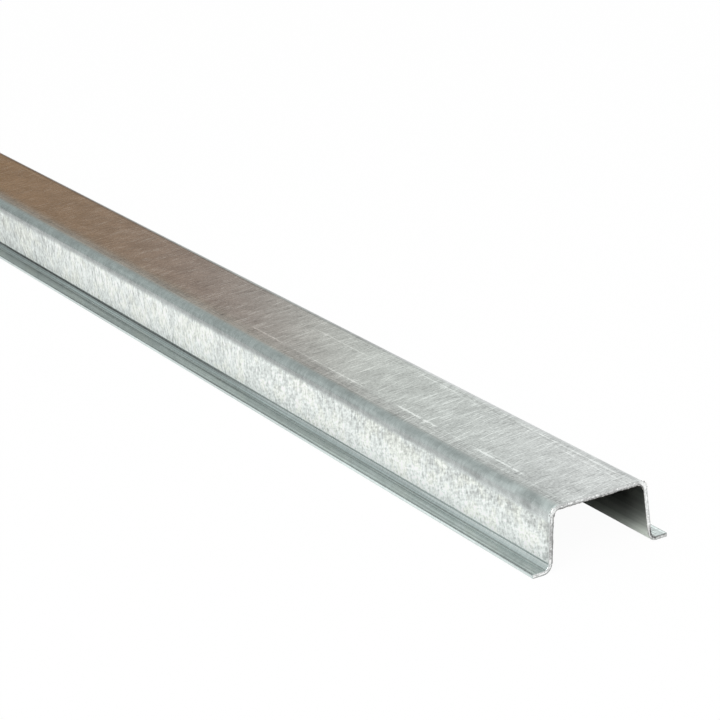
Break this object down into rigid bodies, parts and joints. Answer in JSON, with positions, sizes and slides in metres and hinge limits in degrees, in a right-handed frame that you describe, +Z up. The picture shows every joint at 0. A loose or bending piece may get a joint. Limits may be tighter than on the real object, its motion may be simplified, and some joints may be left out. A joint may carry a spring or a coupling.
{
  "type": "din rail",
  "caption": "Plain galvanised steel mounting rail of top-hat section: flat web, splayed legs and outward lips that switchgear clips over.",
  "frame": {"origin": "middle of the footprint, on the plane of the lips' undersides", "axes": "+X across the section, +Y along the rail, +Z up from the lips to the web's outer face"},
  "size_m": [0.035, 1, 0.015],
  "materials": {
    "galvanised_steel": "hot-dip galvanised, satin, with fine scratches"
  },
  "bodies": {
    "root": {"hat_rail": "galvanised_steel"}
  },
  "joints": []
}
